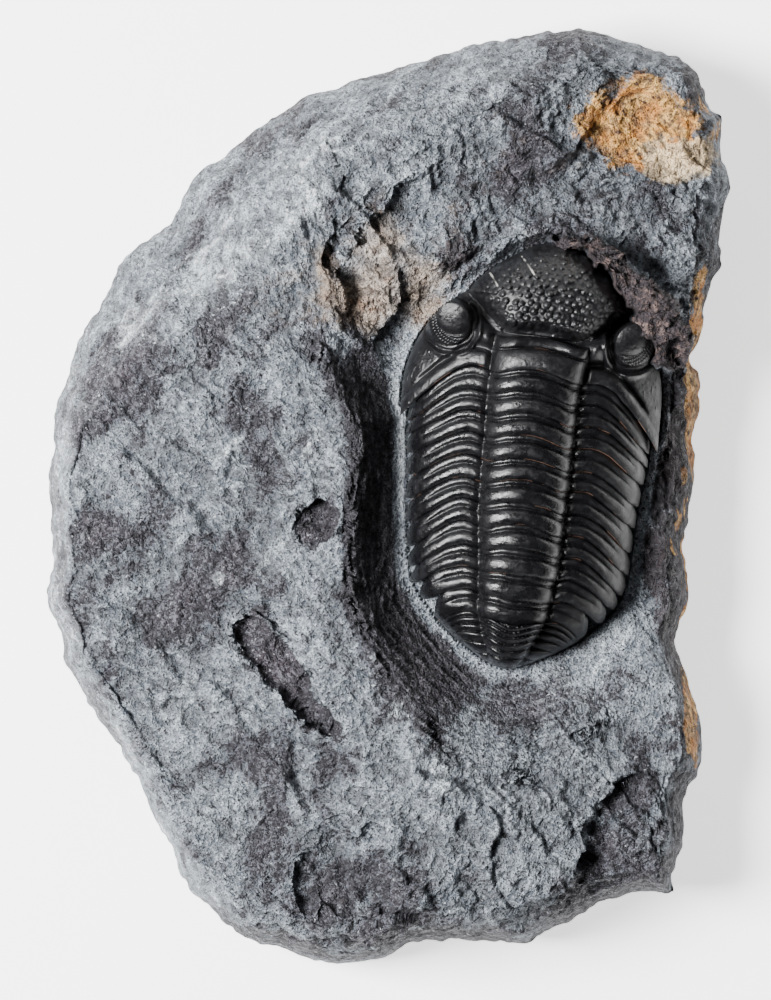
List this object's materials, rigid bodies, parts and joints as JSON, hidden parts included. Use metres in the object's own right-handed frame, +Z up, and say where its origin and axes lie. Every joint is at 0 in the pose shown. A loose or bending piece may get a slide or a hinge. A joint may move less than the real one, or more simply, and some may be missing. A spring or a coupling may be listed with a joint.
{
  "type": "trilobite fossil on a limestone block",
  "caption": "Black phacopid trilobite, shell plate by shell plate, lying in the prepared hollow of a grey limestone block.",
  "frame": {"origin": "centre of the bounding box, on the flat base the block rests on", "axes": "+Y along the block's length, towards the animal's head (which points 8 degrees to the right of it); +X to the animal's right; +Z up, away from the base, towards the animal's back"},
  "size_m": [0.1437, 0.1986, 0.051],
  "materials": {
    "limestone": "matte",
    "black_calcite": "gloss"
  },
  "bodies": {
    "root": {"limestone_block": "limestone", "head_shield": "black_calcite", "thorax_segment_01": "black_calcite", "thorax_segment_02": "black_calcite", "thorax_segment_03": "black_calcite", "thorax_segment_04": "black_calcite", "thorax_segment_05": "black_calcite", "thorax_segment_06": "black_calcite", "thorax_segment_07": "black_calcite", "thorax_segment_08": "black_calcite", "thorax_segment_09": "black_calcite", "thorax_segment_10": "black_calcite", "thorax_segment_11": "black_calcite", "tail_shield": "black_calcite"}
  },
  "joints": []
}
